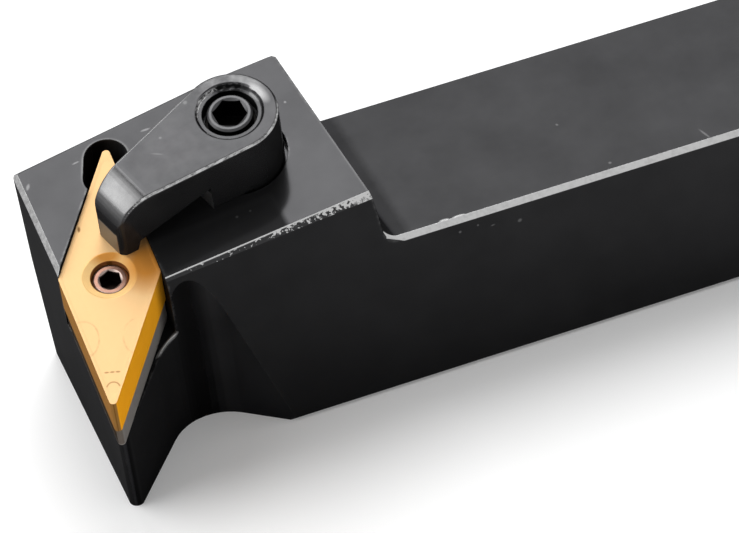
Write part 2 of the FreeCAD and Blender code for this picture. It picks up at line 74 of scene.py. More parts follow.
print("mid grey #808080 is", round(linear("#808080")[0], 3), "in linear light")

# %% [markdown]
# ## The camera
# The picture looks down on the holder from its open side and from the front, through a long
# lens, so that the shank's edges hardly converge. The camera is placed by the point that it
# looks at and by the direction that it looks from, because those two can be turned one
# at a time when the view is matched.

# %% The camera looks at the holder's head and shank
look_at = Vector((-44.882, -2.003, 9.762)) * MM
distance = 599.43 * MM
azimuth = math.radians(-21.7045)
elevation = math.radians(42.1551)
roll = math.radians(-2.415)

lens = bpy.data.cameras.new("long_lens")
lens.lens = 292.34
lens.sensor_width = 36
lens.clip_start = 0.01
lens.clip_end = 20
camera = bpy.data.objects.new("camera", lens)
turn = Matrix.Rotation(azimuth, 4, "Z") @ Matrix.Rotation(math.pi / 2 - elevation, 4, "X")
turn = turn @ Matrix.Rotation(roll, 4, "Z")
camera.matrix_world = Matrix.Translation(look_at + turn @ Vector((0, 0, distance))) @ turn
bpy.context.scene.collection.objects.link(camera)
bpy.context.scene.camera = camera
print("camera at", [round(c / MM) for c in camera.matrix_world.translation], "mm")

# %% [markdown]
# ## The floor
# The floor is a large sheet of pale paper. It keeps the holder's shadow, so it is a real
# surface with a real colour. To look white without more light on the holder, it gives off a
# little light of its own, which only the camera and reflections are shown.

# %% A pale paper floor
floor_size = 3.0
floor_colour = "#f4f4f4"
floor_lift = 0.12


def new_material(name):
    """A material and its empty network, ready for nodes."""
    material = bpy.data.materials.new(name)
    material.use_nodes = True
    material.node_tree.nodes.clear()
    return material, material.node_tree


def white_part(tree):
    """1 for rays that show a background, from the camera or by way of metal or glass."""
    path = add(tree, "LightPath")
    seen = add(tree, "Math", {0: path.outputs["Is Camera Ray"],
                              1: path.outputs["Is Glossy Ray"]}, operation="MAXIMUM")
    return add(tree, "Math", {0: seen, 1: path.outputs["Is Transmission Ray"]},
               operation="MAXIMUM")


floor_paper, tree = new_material("floor_paper")
paper = add(tree, "BsdfDiffuse", {"Color": linear(floor_colour), "Roughness": 0.5})
lift = add(tree, "MapRange", {"Value": white_part(tree), "To Min": 0.0, "To Max": floor_lift})
glow = add(tree, "Emission", {"Color": (1, 1, 1, 1), "Strength": lift})
add(tree, "OutputMaterial", {"Surface": add(tree, "AddShader", {0: paper, 1: glow})})

half = floor_size / 2
corners = [(-half, -half, 0), (half, -half, 0), (half, half, 0), (-half, half, 0)]
floor_mesh = bpy.data.meshes.new("floor")
floor_mesh.from_pydata(corners, [], [(0, 1, 2, 3)])
floor_mesh.materials.append(floor_paper)
floor = bpy.data.objects.new("floor", floor_mesh)
bpy.context.scene.collection.objects.link(floor)
print("floor is", floor_size, "m square")

# %% [markdown]
# ## The light
# A blackened part shows little colour of its own: it shows what it reflects. So each soft
# lamp stands where one group of faces mirrors it. The one overhead makes the head's top
# grey, a weaker one lower behind it does the same for the shank's top, and a third on the
# left draws the bright bar along the clamp's bend. The upright sides mirror only the floor
# and look nearly black, and that difference is what makes the edges read. The world is white
# to the camera and in reflections, and dimmer as a light.

# %% A white world that lights less than it shows
world_light = 0.42
world_shown = 1.0

world = bpy.data.worlds.new("studio")
world.use_nodes = True
world.node_tree.nodes.clear()
bpy.context.scene.world = world
tree = world.node_tree
level = add(tree, "MapRange", {"Value": white_part(tree), "To Min": world_light,
                               "To Max": world_shown})
sky = add(tree, "Background", {"Color": (1, 1, 1, 1), "Strength": level})
add(tree, "OutputWorld", {"Surface": sky})
print("the world lights at", world_light, "and shows at", world_shown)

# %% Three soft lamps
lamps_face = Vector((-0.045, 0, 0.01))  # metres, a point inside the holder near its head
watts_per_step = 4  # what a square metre of lamp takes for each step of brightness


def soft_lamp(name, away, azimuth, elevation, spread, brightness):
    """A disc lamp some metres away. Its spread is half its width, as an angle in degrees."""
    radius = away * math.tan(math.radians(spread))
    area = math.pi * radius * radius
    lamp = bpy.data.lights.new(name, "AREA")
    lamp.shape = "DISK"
    lamp.size = 2 * radius
    lamp.energy = brightness * area * watts_per_step
    holder = bpy.data.objects.new(name, lamp)
    turn = Matrix.Rotation(math.radians(azimuth), 4, "Z")
    turn = turn @ Matrix.Rotation(math.radians(90 - elevation), 4, "X")
    holder.matrix_world = Matrix.Translation(lamps_face + turn @ Vector((0, 0, away))) @ turn
    bpy.context.scene.collection.objects.link(holder)
    holder.visible_camera = False
    print(name, "is", round(2 * radius, 2), "m wide and takes", round(lamp.energy, 1), "W")


soft_lamp("overhead", away=0.6, azimuth=170, elevation=66, spread=18, brightness=4.2)
soft_lamp("behind", away=0.7, azimuth=158, elevation=42, spread=18, brightness=1.7)
soft_lamp("left", away=0.6, azimuth=-107, elevation=38, spread=30, brightness=1.9)
bpy.context.scene.view_settings.view_transform = "Standard"

# %% [markdown]
# ## Blackened steel
# The body is alloy steel, milled, hardened and blackened in hot salts. The black oxide is only
# a micron or two thick, so it keeps the ground surface under it, looks glossy, and rubs off at
# the corners, where bare steel shows. It could be one dark grey, but then it would look
# like plastic. Here the dark metal varies a little in tone and gloss, and a mask of wear
# brings the bare steel through.

# %% Grains with a real size
# The salt bath leaves blotches about 7 mm across. The grinding lines run along x. They are
# about 0.02 mm apart, too fine to show, so they are drawn at 0.1 mm.
blotch_size = 7.0
line_gap = 0.1
line_stretch = (25, 1, 1)


def grains(tree, place, size, detail=4.0, stretch=(1, 1, 1)):
    """A noise whose grains are about size millimetres, and longer where it is stretched."""
    point = add(tree, "VectorMath", {0: place, 1: stretch}, operation="DIVIDE")
    return add(tree, "TexNoise", {"Vector": point, "Scale": 1 / size, "Detail": detail,
                                  "Roughness": 0.65})


print("blotches are", blotch_size, "mm and grinding lines are drawn every", line_gap, "mm")

# %% A black oxide finish
oxide_metal = 0.68  # how much of the oxide's shine is a metal's
dull_metal = 0.05  # the same where the oxide is dull
oxide_edge_tint = linear("#303030")
bare_steel = linear("#bababa")
bare_rough = 0.36
most_of_noise = {"From Min": 0.3, "From Max": 0.7}
blotch_tone = 0.12
line_tone = 0.12
line_height = 0.004
corner_rounding = 0.12


def black_oxide(tree, place, wear, oxide, gloss, darkening, sheen=oxide_metal):
    """Dark oxide over bare steel. wear is 1 where the steel shows, and painted shade darkens
    it.
    """
    blotches = grains(tree, place, blotch_size, 5.0)
    lines = grains(tree, place, line_gap, 2.0, line_stretch)
    tone = add(tree, "MapRange", {"Value": blotches, **most_of_noise,
                                  "To Min": 1 - blotch_tone, "To Max": 1 + blotch_tone})
    # The lines add to the tone, and half of that comes off again, so that the mean stays
    tone = add(tree, "Math", {0: lines, 1: line_tone, 2: tone}, operation="MULTIPLY_ADD")
    tone = add(tree, "Math", {0: tone, 1: line_tone / 2}, operation="SUBTRACT")
    # Painted shade makes the tone darker here
    tone = add(tree, "Math", {0: tone, 1: darkening}, operation="MULTIPLY")
    dark = add(tree, "VectorMath", {0: linear(oxide)[:3], "Scale": tone}, operation="SCALE")
    colour = add(tree, "Mix", {"Factor": wear, "A": dark, "B": bare_steel}, data_type="RGBA")
    # The blotches differ a little in gloss too
    rough = add(tree, "MapRange", {"Value": blotches, **most_of_noise,
                                   "To Min": gloss - 0.02, "To Max": gloss + 0.04})
    rough = add(tree, "Mix", {"Factor": wear, "A": rough, "B": bare_rough}, data_type="FLOAT")
    rounded = add(tree, "Bevel", {"Radius": corner_rounding * MM}, samples=6)
    relief = add(tree, "Bump", {"Height": lines, "Strength": 0.12,
                                "Distance": line_height * MM, "Normal": rounded})
    metal = add(tree, "MapRange", {"Value": wear, "To Min": sheen, "To Max": 1.0})
    # The oxide is part metal in its shine, and scatters a little light by itself. Looked at
    # along its surface it shines less than clean metal does, which the dark tint gives.
    return add(tree, "BsdfPrincipled", {"Base Color": colour, "Metallic": metal,
                                        "Roughness": rough, "Normal": relief,
                                        "Specular IOR Level": 0.0,
                                        "Specular Tint": oxide_edge_tint})


print("bare steel is", round(bare_steel[0], 3), "and the oxide is a metal by", oxide_metal)

# %% [markdown]
# ## Where a mark sits
# Wear on a tool isn't spread evenly: it follows edges, and it gathers where chips rub and keys
# slip. So each finish needs to know where it is on its piece. It could be painted on an
# unwrapped picture, but a mask worked out from the point itself stays sharp at any distance.
# A mapping node turns the point into millimetres in a piece's own directions, and small
# networks built on it find edges, faces that look one way, and round or long patches.

# %% The point on a piece, and faces that look one way
def own_place(tree, origin=(0, 0, 0), x=(1, 0, 0), z=(0, 0, 1)):
    """The point in millimetres, from an origin in millimetres and along a piece's own axes."""
    z = Vector(z).normalized()
    y = z.cross(Vector(x)).normalized()
    turn = Matrix((y.cross(z), y, z)).transposed().to_euler()
    point = add(tree, "TexCoord").outputs["Object"]
    return add(tree, "Mapping", {"Vector": point, "Location": Vector(origin) * MM,
                                 "Rotation": turn, "Scale": (MM, MM, MM)},
               vector_type="TEXTURE")


def past(tree, place, axis, start, full, low=0.0, high=1.0):
    """Runs from low to high while the point goes from start to full along an axis."""
    along = add(tree, "SeparateXYZ", {"Vector": place}).outputs[axis]
    return add(tree, "MapRange", {"Value": along, "From Min": start, "From Max": full,
                                  "To Min": low, "To Max": high})


def facing(tree, direction, start, full):
    """1 where a face looks in a direction, by the cosine between the two."""
    normal = add(tree, "NewGeometry").outputs["True Normal"]
    square = add(tree, "VectorMath", {0: normal, 1: Vector(direction).normalized()},
                 operation="DOT_PRODUCT").outputs["Value"]
    return add(tree, "MapRange", {"Value": square, "From Min": start, "From Max": full})


head_top = (-0.125, -0.1791, 0.9759)
print("the head's top leans", round(math.degrees(math.acos(head_top[2])), 1), "degrees")

# %% [markdown]
# ## The head's open edge
# The edge between the head's top and its open side is broken by a small slope. A thin line
# along its top is burnished, and below it the oxide is chipped in nicks that crowd towards
# the rear, where a patch is nearly bare. Even wear would look like a painted stripe, so the
# nicks are the places where a fine noise rises above a limit that falls to the rear. Two
# more functions put masks together.

# %% The slope along the head's edge
def overlap(tree, *masks):
    """Masks multiplied: 1 only where all of them are. A plain number weakens the rest."""
    whole = masks[0]
    for mask in masks[1:]:
        whole = add(tree, "Math", {0: whole, 1: mask}, operation="MULTIPLY", use_clamp=True)
    return whole


def strongest(tree, *masks):
    """The highest of several masks at each point."""
    whole = masks[0]
    for mask in masks[1:]:
        whole = add(tree, "Math", {0: whole, 1: mask}, operation="MAXIMUM", use_clamp=True)
    return whole


blackened_steel, tree = new_material("blackened_steel")
place = own_place(tree)
head_edge_front = (-78.85, -10, 22.759)
head_edge_way = (0.9919, 0, 0.1271)
head_edge_looks = (-0.081, -0.768, 0.635)

# On the edge x runs back from its front end, and z is 0 at the head's top
on_edge = own_place(tree, head_edge_front, head_edge_way, head_top)
broken = overlap(tree, facing(tree, head_edge_looks, 0.97, 0.985),
                 past(tree, on_edge, "Z", -0.95, -0.85))
burnished_line = past(tree, on_edge, "Z", -0.11, -0.06)
print("the slope along the edge takes", len(tree.nodes), "nodes")

# %% Nicks along the head's edge
nick_size = 0.38  # mm across a nick
streak_size = 0.2  # mm from streak to streak
streak_squeeze = (1, 0.02, 0.15)  # the streaks' noise changes along x and hardly down

grain = grains(tree, on_edge, nick_size, 3.0)
limit = add(tree, "Math", {0: past(tree, on_edge, "X", 8, 31, low=0.64, high=0.4),
                           1: past(tree, on_edge, "Z", -0.1, -0.8, low=0, high=0.2)},
            operation="ADD")
above = add(tree, "Math", {0: grain, 1: limit}, operation="SUBTRACT")
nicks = add(tree, "MapRange", {"Value": above, "From Max": 0.03})

# The bare patch at the rear starts raggedly, and its streaks run down the slope
down_slope = add(tree, "VectorMath", {0: on_edge, 1: streak_squeeze}, operation="MULTIPLY")
streaks = add(tree, "MapRange", {"Value": grains(tree, down_slope, streak_size, 3.0),
                                 "From Min": 0.4, "From Max": 0.6, "To Min": 0.35})
back_along = add(tree, "SeparateXYZ", {"Vector": on_edge}).outputs["X"]
ragged_start = add(tree, "Math", {0: grain, 1: 5.0, 2: back_along}, operation="MULTIPLY_ADD")
rear_patch = overlap(tree, add(tree, "MapRange", {"Value": ragged_start, "From Min": 31.6,
                                                  "From Max": 32.6}), streaks)
edge_wear = overlap(tree, strongest(tree, burnished_line, nicks, rear_patch), broken)
print("the edge's wear takes", len(tree.nodes), "nodes")

# %% [markdown]
# ## The other rubbed edges
# Tool posts have rubbed the shank's open edge bright for its whole length. The slope at the
# head's front and an arc by the pocket are rubbed too, and the slot's rim and the back wall's
# top only faintly. Where an edge has its own slope, the wear is found by the way that the
# slope looks. Elsewhere a short look into the metal finds the corner.

# %% Corners, patches and the shank's edge
def outer_edges(tree, reach):
    """1 along outside corners and 0 on flats: it looks into the metal for another face."""
    inside = add(tree, "AmbientOcclusion", {"Distance": reach * MM},
                 inside=True, only_local=True, samples=12)
    on_flat, on_corner = 0.93, 0.6
    return add(tree, "MapRange", {"Value": inside.outputs["AO"], "From Min": on_flat,
                                  "From Max": on_corner})


def patch(tree, place, size, soft=0.5, at=(0, 0, 0)):
    """1 inside an ellipsoid of a size in millimetres, and fading to 0 outside it."""
    off = add(tree, "VectorMath", {0: place, 1: at}, operation="SUBTRACT")
    off = add(tree, "VectorMath", {0: off, 1: size}, operation="DIVIDE")
    far = add(tree, "VectorMath", {0: off}, operation="LENGTH").outputs["Value"]
    return add(tree, "MapRange", {"Value": far, "From Min": 1 + soft, "From Max": 1 - soft})


shank_edge_looks = (0, -1, 1)
front_slope_looks = (-0.79, -0.09, 0.6)
ragged_size = 0.5  # mm, for the ragged line where bare steel meets oxide
chip_size = 0.9  # mm from chip to chip along a corner
rub_reach = 0.35  # mm that the rubbing reaches in from a corner

ragged = grains(tree, place, ragged_size, 5.0)
shank_edge = overlap(tree, facing(tree, shank_edge_looks, 0.8, 0.92),
                     past(tree, place, "Z", 18.4, 18.7),
                     past(tree, place, "X", -46.6, -46.2),
                     add(tree, "MapRange", {"Value": ragged, "From Min": 0.35,
                                            "From Max": 0.55, "To Min": 0.85}))
front_band = overlap(tree, facing(tree, front_slope_looks, 0.94, 0.985),
                     add(tree, "MapRange", {"Value": ragged, "From Min": 0.3, "From Max": 0.6,
                                            "To Min": 0.4, "To Max": 0.6}))
edges = outer_edges(tree, rub_reach)
chips = add(tree, "MapRange", {"Value": grains(tree, place, chip_size, 6.0),
                               "From Min": 0.45, "From Max": 0.62})
corner_rub = overlap(tree, edges, chips)
slot_rim = overlap(tree, edges, patch(tree, place, (4.2, 4.2, 4), 0.2, at=(-68.5, 6.6, 27)))
back_edge = overlap(tree, edges, patch(tree, place, (1.6, 6, 2), 0.4, at=(-47.9, -4.6, 27.6)))
on_arc = own_place(tree, (-69.3, -9.45, 15.22), (2.33, 1.49, 0.61), (-0.13, -0.19, 0.97))
pocket_arc = patch(tree, on_arc, (1.7, 0.22, 0.5), 0.3)
print("chips are", chip_size, "mm, and corners are rubbed", rub_reach, "mm in")

# %% [markdown]
# ## Small knocks and scratches
# Fifteen short marks catch the eye on the dark faces, and two of them sit beside the shank's
# bright edge. No pattern puts them where they are, so each one is listed where it was seen,
# by its start, its end and its width in millimetres.

# %% Marks on the top, the side and the shank's edge
def scratches(tree, marks, up):
    """1 on short thin marks: where each starts and ends and how wide it is."""
    depth = 0.3
    found = []
    for start, end, width in marks:
        start, end = Vector(start), Vector(end)
        size = ((end - start).length / 2, width / 2, depth)
        found.append(patch(tree, own_place(tree, (start + end) / 2, end - start, up),
                           size, 0.35))
    return strongest(tree, *found)


edge_knocks = scratches(tree, [
    ((-40.25, -9.43, 20), (-39.3, -9.43, 20), 0.32),
    ((-38.8, -9.46, 20), (-37.6, -9.46, 20), 0.28),
], (0, 0, 1))
top_marks = scratches(tree, [
    ((-11.3, -7.9, 20), (-10.85, -9.5, 20), 0.22),
    ((-21.6, -8.7, 20), (-21.3, -8.6, 20), 0.3),
    ((-23.9, -1.2, 20), (-23.7, -1.1, 20), 0.3),
    ((-64.7, 7.25, 27.75), (-63.8, 7.2, 27.85), 0.22),
    ((-77.3, 5.9, 25.87), (-76.9, 6.5, 26.03), 0.3),
    ((-72.2, 6.7, 26.67), (-71.5, 6.75, 26.77), 0.16),
    ((-60.35, -6.45, 25.78), (-60.1, -6.35, 25.83), 0.26),
    ((-58.9, -6.4, 25.98), (-58.7, -6.3, 26.03), 0.22),
    ((-50.8, 3.9, 28.91), (-50.6, 4.0, 28.95), 0.25),
], head_top)
side_marks = scratches(tree, [
    ((-38.45, -10, 18.3), (-38.2, -10, 18.4), 0.3),
    ((-36.5, -10, 18.5), (-36.3, -10, 18.55), 0.22),
    ((-35.0, -10, 17.9), (-34.6, -10, 17.95), 0.15),
    ((-32.1, -10, 17.4), (-31.7, -10, 17.5), 0.4),
], (0, -1, 0))

# How far each mark bares the steel. The tops mirror the lamp overhead, so little is enough.
strengths = [(shank_edge, 1.0), (edge_wear, 1.0), (front_band, 1.0), (pocket_arc, 0.9),
             (corner_rub, 0.08), (slot_rim, 0.1), (back_edge, 0.06), (top_marks, 0.1),
             (side_marks, 0.12), (edge_knocks, 0.4)]
wear = strongest(tree, *[overlap(tree, mask, strength) for mask, strength in strengths])
print("the body has", len(strengths), "kinds of wear")

# %% [markdown]
# ## Painted shade on the body
# The head's open side is painted darker than the shank's, more so towards the head, as
# painted shade. Painted shade also runs along the shank at the foot of the back wall, and a
# painted reflection and shadow of the clamp lies on the head's top between the clamp and the
# open edge. That painted reflection is drawn both darker and duller. The head's end face has
# painted shade and is dull too.

# %% The body's dark places and its finish
open_side_looks = (0, -1, 0)
end_face_looks = (-0.99, 0.05, -0.12)

# Painted shade: the open side grows darker towards the head
shade = overlap(tree, facing(tree, open_side_looks, 0.9, 0.98),
                past(tree, place, "X", 60, -60))
# Painted shade on the head's end face, which is made duller too
end_face = facing(tree, end_face_looks, 0.95, 0.99)
# The painted shade at the wall's foot ends in a line that wanders by part of a millimetre
along_shank = add(tree, "SeparateXYZ", {"Vector": place}).outputs["X"]
wander = add(tree, "Math", {0: ragged, 1: 0.7, 2: along_shank}, operation="MULTIPLY_ADD")
wall_foot_shade = overlap(tree, add(tree, "MapRange", {"Value": wander, "From Min": -42.7,
                                            "From Max": -43.7}),
               past(tree, place, "Z", 20.3, 20.1), facing(tree, (0, 0, 1), 0.9, 0.97))
# A painted reflection and shadow of the clamp on the head's top
clamp_reflection = overlap(tree, past(tree, on_edge, "X", 23.2, 22.6), past(tree, on_edge, "Y", 5, 4),
               facing(tree, head_top, 0.99, 0.997))

# How much of its brightness each place of painted shade keeps
brightness_left = [(shade, 0.45), (end_face, 0.45), (wall_foot_shade, 0.62), (clamp_reflection, 0.45)]
darkening = overlap(tree, *[add(tree, "MapRange", {"Value": mask, "To Min": 1.0, "To Max": left})
                       for mask, left in brightness_left])
dull = strongest(tree, end_face, overlap(tree, clamp_reflection, 0.9))
sheen = add(tree, "MapRange", {"Value": dull, "To Min": oxide_metal, "To Max": dull_metal})
steel = black_oxide(tree, place, wear, "#353536", 0.11, darkening, sheen)
add(tree, "OutputMaterial", {"Surface": steel})
print("blackened steel has", len(tree.nodes), "nodes")

# %% [markdown]
# ## The clamp's finger
# The clamp is blackened as the body is, but chips slide over its finger and keys knock its
# heel, so its oxide is rubbed greyer on top and on the bend, and its near rim has worn to a
# thin bright line. A painted highlight lies over the bend, and the tip's front face and the
# far rim carry painted highlights too. The bend and the rim are rounded, so the way that the
# surface looks tells how far round it a point is, and that is what the masks read.

# %% The bend, the tip and the rim
clamp_axis = (-57.383, 0.561, 27.447)
finger_way = (-0.9544, -0.2472, -0.1676)
side_way = Vector(head_top).cross(Vector(finger_way))
smear_size = 2.2  # mm across a smear
nibble_size = 0.35  # mm from chip to chip along the rim

clamp_steel, tree = new_material("clamp_steel")
place = own_place(tree, clamp_axis, finger_way, head_top)
smears = add(tree, "MapRange", {"Value": grains(tree, place, smear_size, 5.0),
                                "From Min": 0.35, "From Max": 0.65})

# The bend runs from where the top turns down to where the tip's front face starts. It is
# rubbed, and a painted highlight over it is brightest in the middle
glow = patch(tree, place, (1.7, 2.6, 2.4), 0.7, at=(13.9, -0.4, 5.0))
bend = overlap(tree, facing(tree, finger_way, 0.0, 0.4), facing(tree, finger_way, 0.92, 0.7),
               past(tree, place, "X", 9.5, 10.5), facing(tree, side_way, 0.5, 0.2),
               add(tree, "MapRange", {"Value": glow, "To Min": 0.12, "To Max": 0.4}),
               add(tree, "MapRange", {"Value": smears, "To Min": 0.8, "To Max": 1.1}))
# A painted highlight on the tip's front face
tip_face_highlight = overlap(tree, facing(tree, finger_way, 0.94, 0.98),
                   past(tree, place, "Z", 2.6, 2.2))

# The near rim is nibbled by chips. The far rim's painted highlight fades towards the heel
nibbled = add(tree, "MapRange", {"Value": grains(tree, place, nibble_size, 4.0, (2.5, 1, 1)),
                                 "From Min": 0.36, "From Max": 0.6, "To Min": 0.25})
near_rim = overlap(tree, facing(tree, head_top, 0.2, 0.45), facing(tree, head_top, 0.99, 0.93),
                   facing(tree, finger_way, 0.5, 0.35), facing(tree, side_way, 0.2, 0.45),
                   nibbled)
far_rim_highlight = overlap(tree, facing(tree, head_top, 0.0, 0.1), facing(tree, head_top, 0.998, 0.97),
                  facing(tree, finger_way, 0.5, 0.35), facing(tree, -side_way, 0.02, 0.1),
                  past(tree, place, "X", 0, 3, low=0.1, high=0.55))
print("smears on the clamp are", smear_size, "mm and nibbles on its rim", nibble_size, "mm")

# %% [markdown]
# ## The dish round the clamp's screw
# The screw stands in a shallow dish. Dark arcs and a broken dark line are drawn in it beside
# the screw, and slipped keys have left short scratches. Beyond the arcs the dish is rubbed to
# a bright smear, and the flat ring towards the heel carries a painted highlight. All of it
# lies round the screw, so the masks are pieces of rings.

# %% Arcs and smears round the screw, and the clamp's finish
def ring(tree, place, radius, width, soft=0.06, at=(0, 0, 0)):
    """1 on a ring in a piece's own x and y, whatever its height."""
    off = add(tree, "VectorMath", {0: place, 1: at}, operation="SUBTRACT")
    off = add(tree, "VectorMath", {0: off, 1: (1, 1, 0)}, operation="MULTIPLY")
    far = add(tree, "VectorMath", {0: off}, operation="LENGTH").outputs["Value"]
    off = add(tree, "Math", {0: far, 1: radius}, operation="SUBTRACT")
    off = add(tree, "Math", {0: off}, operation="ABSOLUTE")
    return add(tree, "MapRange", {"Value": off, "From Min": width / 2 + soft,
                                  "From Max": width / 2})


arc_grain_size = 0.22  # mm, for the broken lines of the arcs
dish_height = 6.7  # mm above the clamp's own origin
arc_grain = grains(tree, place, arc_grain_size, 4.0, (2, 2, 1))
dark_arc = overlap(tree, ring(tree, place, 3.15, 0.8, 0.12),
                   patch(tree, place, (1.6, 1.6, 2), 0.3, at=(-1.9, -2.4, dish_height)),
                   add(tree, "MapRange", {"Value": arc_grain, "From Min": 0.32,
                                          "From Max": 0.48}))
thin_arcs = overlap(tree, ring(tree, place, 3.5, 0.08, 0.05),
                    patch(tree, place, (1.7, 1.4, 2), 0.3, at=(-0.6, -3.2, dish_height)))
outline = overlap(tree, ring(tree, place, 3.28, 0.12, 0.08),
                  add(tree, "MapRange", {"Value": arc_grain, "From Min": 0.3,
                                         "From Max": 0.5}))
smear = patch(tree, place, (0.55, 1.35, 1), 0.5, at=(-3.55, -0.2, dish_height))
# A painted highlight on the flat ring towards the heel, broken up by the smears
heel_highlight = overlap(tree, ring(tree, place, 3.85, 0.9, 0.35),
                    patch(tree, place, (3.4, 3.4, 3), 0.4, at=(-2.6, -2.6, dish_height)))
key_marks = scratches(tree, [
    ((-65.5, -0.5, 33.14), (-65.3, -0.3, 33.2), 0.3),
    ((-61.8, 2.2, 34.08), (-61.5, 2.5, 34.17), 0.4),
    ((-66.9, -1.7, 32.72), (-65.9, -2.3, 32.74), 0.12),
], head_top)

# Rubbing and the painted highlights bare the steel
rub_and_highlights = strongest(tree, bend, tip_face_highlight, near_rim, far_rim_highlight, overlap(tree, smear, 0.22),
                overlap(tree, heel_highlight, smears, 0.14), overlap(tree, key_marks, 0.07),
                overlap(tree, smears, 0.02))
dark_lines_and_arcs = strongest(tree, dark_arc, thin_arcs, overlap(tree, outline, 0.6))
rub_and_highlights = add(tree, "Math", {0: rub_and_highlights, 1: dark_lines_and_arcs}, operation="SUBTRACT", use_clamp=True)
# The dark arcs and lines darken the oxide
darkening = add(tree, "MapRange", {"Value": dark_lines_and_arcs, "To Min": 1.0, "To Max": 0.12})
steel = black_oxide(tree, place, rub_and_highlights, "#363637", 0.15, darkening)
add(tree, "OutputMaterial", {"Surface": steel})
print("clamp steel has", len(tree.nodes), "nodes")

# %% [markdown]
# ## The clamp's screw
# The screw's end is blackened steel too, rubbed by the key and by fingers. Its socket is deep
# and is painted dark as shade. The screw is too small to show grinding lines, so it is a plain
# metal whose colour changes with height: dark in the socket and grey at the end.

# %% Turned steel with painted shade in its socket
screw_blotch_size = 1.5  # mm
socket_shade = linear("#121110")
screw_grey = linear("#454546")

screw_steel, tree = new_material("screw_steel")
place = own_place(tree, clamp_axis, finger_way, head_top)
tone = add(tree, "MapRange", {"Value": grains(tree, place, screw_blotch_size),
                              "To Min": 0.7, "To Max": 1.3})
rubbed = add(tree, "VectorMath", {0: screw_grey[:3], "Scale": tone}, operation="SCALE")
# Painted shade: the socket below the end is dark
colour = add(tree, "Mix", {"Factor": past(tree, place, "Z", 6.3, 6.5), "A": socket_shade,
                           "B": rubbed}, data_type="RGBA")
rounded = add(tree, "Bevel", {"Radius": 0.08 * MM}, samples=6)
screw = add(tree, "BsdfPrincipled", {"Base Color": colour, "Metallic": 1.0, "Roughness": 0.4,
                                     "Normal": rounded})
add(tree, "OutputMaterial", {"Surface": screw})
print("blotches on the screw are", screw_blotch_size, "mm")

# %% [markdown]
# ## The gold insert
# The insert is sintered carbide under a coat of titanium nitride a few microns thick. The coat
# is gold in colour, and because the carbide under it is only as smooth as its mould, it looks
# satin and pale in the light and deep orange in the shade. One gold can't do both here, so
# light and shade are painted: the faces and the flanks have golds of their own, each a little
# mottled, because the coat's thickness varies.

# %% Titanium nitride on the faces and flanks
insert_middle = (-73.683, -6.439, 23.41)
insert_up = (-0.1305, -0.1948, 0.9721)
insert_long = (0.3466, 0.9097, 0.2288)
nose_looks = -Vector(insert_long)
open_flank_looks = (0.782, -0.624, -0.02)
mottle_size = 1.8  # mm

gold_coat, tree = new_material("titanium_nitride")
place = own_place(tree, insert_middle, insert_long, insert_up)
mottle = grains(tree, place, mottle_size, 5.0)
# Painted light and shade: the face gold is the lit copy of the coat, the flank golds shaded
# ones
golds = {}
for name, darker, lighter in (("face", "#c6a374", "#d1ae80"), ("flank", "#7f5e34", "#8d6b3f"),
                              ("open flank", "#f5a81f", "#ffb42c")):
    golds[name] = add(tree, "Mix", {"Factor": mottle, "A": linear(darker),
                                    "B": linear(lighter)}, data_type="RGBA")
flat_top = facing(tree, insert_up, 0.8, 0.97)
open_flank = facing(tree, open_flank_looks, 0.8, 0.97)
print("the insert has", len(golds), "golds, mottled every", mottle_size, "mm")

# %% [markdown]
# ## The insert's hole and the shade under the clamp
# The hole opens out in a cone that painted light makes paler than the face, and its wall is
# painted brown as shade. Under the clamp's tip, and in the hole's mouth, painted shade turns
# the coat orange.

# %% Pale, orange and brown places
bore_radius = 1.96  # mm
cone = ring(tree, place, 2.3, 0.75, 0.1)
# Painted light makes the cone paler
painted_light_cone = overlap(tree, cone, 0.75)
mouth = overlap(tree, cone, patch(tree, place, (0.9, 1.5, 1), 0.5, at=(2.4, 0.2, 0)))
# Painted shade turns the coat orange under the clamp's tip and in the hole's mouth
shade_under_tip = patch(tree, place, (2.7, 2.2, 2), 0.5, at=(1.2, -3.6, 0))
orange = strongest(tree, overlap(tree, shade_under_tip, 0.9), overlap(tree, mouth, 0.85))
off = add(tree, "VectorMath", {0: place, 1: (1, 1, 0)}, operation="MULTIPLY")
radius = add(tree, "VectorMath", {0: off}, operation="LENGTH").outputs["Value"]
# Painted shade browns the hole's wall
bore_shade = add(tree, "MapRange", {"Value": radius, "From Min": bore_radius,
                              "From Max": bore_radius - 0.04, "To Max": 0.85})
print("the hole's wall is brown within", bore_radius, "mm of its axis")

# %% [markdown]
# ## Marks pressed near the nose
# Near each nose the press has left two shallow pads and small marks that tell the noses
# apart: three dashes and an arch. The pads are only some hundredths of a millimetre high, so
# a bump gives them. The marks are drawn in brown, and so are painted shade along the pads'
# outlines and round the hole's mouth, and a painted dark reflection along the nose.

